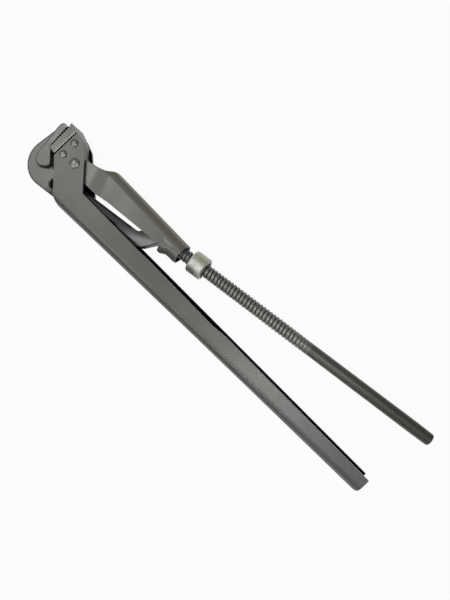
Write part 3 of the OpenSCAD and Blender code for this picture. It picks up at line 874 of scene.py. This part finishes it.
def round_handle():
    """The plain end of the shank, which tapers a little to a flat end with a rounded corner."""
    bm = bmesh.new()
    corner = arc((HANDLE_END - END_ROUND, GRIP_R - END_TAPER - END_ROUND), END_ROUND, 90, 0, 6)
    revolved(bm, [(THREAD_END - 6, 0), (THREAD_END - 6, GRIP_R - 0.3), (THREAD_END - 2, GRIP_R),
                  (HANDLE_END - TAPER_LEN, GRIP_R)] + corner + [(HANDLE_END, 0)], 64)
    set_down(bm, "round_handle", LEVER, "lever", grip_finish)


rolled_thread()
round_handle()

# ---- Adjusting nut ----

NUT_LEN = 14.5
NUT_R = 10.0
NUT_BORE = 5.77
NUT_ROUND = 1.2
NUT_CHAMFER = 0.8
nut_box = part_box("adjusting_nut")
nut_start = (LEVER.inverted() @ ((nut_box[0] + nut_box[1]) / 2)).x - NUT_LEN / 2
# the recess in the outer face: depth and radius
RECESS = [(0, 7.9), (0.4, 7.5), (2.6, 7.3), (2.6, NUT_BORE + NUT_CHAMFER), (3.4, NUT_BORE)]
# where a patch lies, from the middle of the nut's inner face, its reach in metres and its colour
PATCHES = [((9.0, 6.0, 8.0), 0.0078, tone(222, 223, 170)),
           ((4.8, -9.0, 4.5), 0.0102, tone(120, 121, 114))]
PATCH_FADE = 0.0043  # width of a patch's border, in metres
PATCH_RAGGED = 0.004  # and how far the border wanders
PATCH_AMOUNT = 0.85


def zinc():
    """Dull zinc plating with a yellowed patch and a darker one."""
    material = steel("zinc_plated_nut", tone(248, 249, 241), tone(206, 208, 194),
                     tone(252, 252, 248), metallic=0.3, roughness=0.42, clouds=240.0,
                     cloud_amount=0.9, grain_depth=0.003, scratches=0.4)
    tree = material.node_tree
    shader = tree.nodes["Principled BSDF"]
    place = add(tree, "TexCoord").outputs["Object"]
    ragged = maths(tree, "MULTIPLY", noise(tree, place, 420.0, 3.0, 0.5), PATCH_RAGGED)
    color = shader.inputs["Base Color"].links[0].from_socket
    for spot, reach, patch_color in PATCHES:
        middle = LEVER @ (Vector((nut_start, 0, 0)) + Vector(spot))
        apart = add(tree, "VectorMath", {0: place, 1: middle}, operation="DISTANCE")
        apart = maths(tree, "ADD", apart.outputs["Value"], ragged)
        share = stretched(tree, apart, reach - PATCH_FADE, reach, PATCH_AMOUNT, 0.0)
        color = mixed(tree, share, color, patch_color)
    tree.links.new(color, shader.inputs["Base Color"])
    return material


def nut():
    """A plated ring with rounded rims and a recess in its outer face."""
    rim_y = NUT_R - NUT_ROUND
    profile = [(NUT_CHAMFER, NUT_BORE), (0, NUT_BORE + NUT_CHAMFER)]
    profile += arc((NUT_ROUND, rim_y), NUT_ROUND, 180, 90, 4)
    profile += arc((NUT_LEN - NUT_ROUND, rim_y), NUT_ROUND, 90, 0, 4)
    profile += [(NUT_LEN - depth, r) for depth, r in RECESS] + [(NUT_CHAMFER, NUT_BORE)]
    bm = bmesh.new()
    revolved(bm, [(nut_start + x, r) for x, r in profile], 72)
    set_down(bm, "nut", LEVER, "nut", zinc(), ("adjusting_nut",))


nut()

# ---- Floor, light and camera ----

FLOOR_HALF = 4
FLOOR_SEEN = (0.9, 0.9, 0.9, 1)
FLOOR_LIT = (0.25, 0.25, 0.25, 1)  # what the floor throws back onto the wrench
FLOOR_GLOW = 0.95
BOX = (0.35, 0.35)
# name: place, point aimed at, size, watts
SOFT_LIGHTS = {
    "top_panel": ((0, 0, 1.3), (0, 0, 0), (0.6, 0.6), 2.0),
    "sheen_lamp": ((0.104, -0.19, 1.3), (0.05, 0, 0), (0.15, 0.15), 1.3),
    "head_box": ((-0.677, 0, 0.867), (0, 0, 0), BOX, 1.5),
    "corner_box": ((-0.479, -0.479, 0.867), (0, 0, 0), BOX, 1.2),
    "channel_box": ((0, -0.677, 0.867), (0, 0, 0), BOX, 1.3),
    "handle_box": ((0.677, 0, 0.867), (0, 0, 0), BOX, 0.4)}
ROOM_LIGHT = 0.06
CAMERA_PLACE = (0.08043, 0.02835, 0.4438)
CAMERA_RIGHT = Vector((0.70188, 0.69595, -0.15172))
CAMERA_UP = Vector((-0.69528, 0.71567, 0.06638))


def floor():
    """A white sheet that glows where it is seen and still takes the wrench's shadow."""
    bm = bmesh.new()
    bmesh.ops.create_grid(bm, x_segments=1, y_segments=1, size=FLOOR_HALF)
    mesh = bpy.data.meshes.new("floor")
    bm.to_mesh(mesh)
    bm.free()
    material = bpy.data.materials.new("white_floor")
    material.use_nodes = True
    tree = material.node_tree
    tree.nodes.remove(tree.nodes["Principled BSDF"])
    glow = add(tree, "Emission", {"Color": (1, 1, 1, 1), "Strength": 1.0})
    path = add(tree, "LightPath").outputs
    seen = maths(tree, "MAXIMUM", maths(tree, "MAXIMUM", path["Is Camera Ray"],
                                        path["Is Glossy Ray"]), path["Is Transmission Ray"])
    matt = add(tree, "BsdfDiffuse", {"Color": mixed(tree, seen, FLOOR_LIT, FLOOR_SEEN)})
    blend = add(tree, "MixShader", {0: maths(tree, "MULTIPLY", seen, FLOOR_GLOW),
                                    1: matt.outputs[0], 2: glow.outputs[0]})
    tree.links.new(blend.outputs[0], tree.nodes["Material Output"].inputs["Surface"])
    mesh.materials.append(material)
    sheet = bpy.data.objects.new("floor", mesh)
    bpy.context.scene.collection.objects.link(sheet)


def soft_light(name, place, aim, size, watts):
    """A rectangular light aimed at a point."""
    lamp = bpy.data.lights.new(name, "AREA")
    lamp.shape = "RECTANGLE"
    lamp.size, lamp.size_y = size
    lamp.energy = watts
    holder = bpy.data.objects.new(name, lamp)
    turn = (Vector(aim) - Vector(place)).to_track_quat("-Z", "Y").to_matrix().to_4x4()
    holder.matrix_world = Matrix.Translation(place) @ turn
    bpy.context.scene.collection.objects.link(holder)


floor()
for name, settings in SOFT_LIGHTS.items():
    soft_light(name, *settings)

world = bpy.data.worlds.new("room")
world.use_nodes = True
world.node_tree.nodes["Background"].inputs["Color"].default_value = (1, 1, 1, 1)
world.node_tree.nodes["Background"].inputs["Strength"].default_value = ROOM_LIGHT
bpy.context.scene.world = world

camera_data = bpy.data.cameras.new("camera")
camera_data.lens = 31.2
camera_data.sensor_width = 36
camera_data.sensor_fit = "AUTO"
camera_data.clip_start = 0.01
camera = bpy.data.objects.new("camera", camera_data)
camera_turn = Matrix((CAMERA_RIGHT, CAMERA_UP, CAMERA_RIGHT.cross(CAMERA_UP))).transposed()
camera.matrix_world = Matrix.Translation(CAMERA_PLACE) @ camera_turn.to_4x4()
bpy.context.scene.collection.objects.link(camera)
bpy.context.scene.camera = camera
bpy.context.scene.view_settings.view_transform = "Standard"
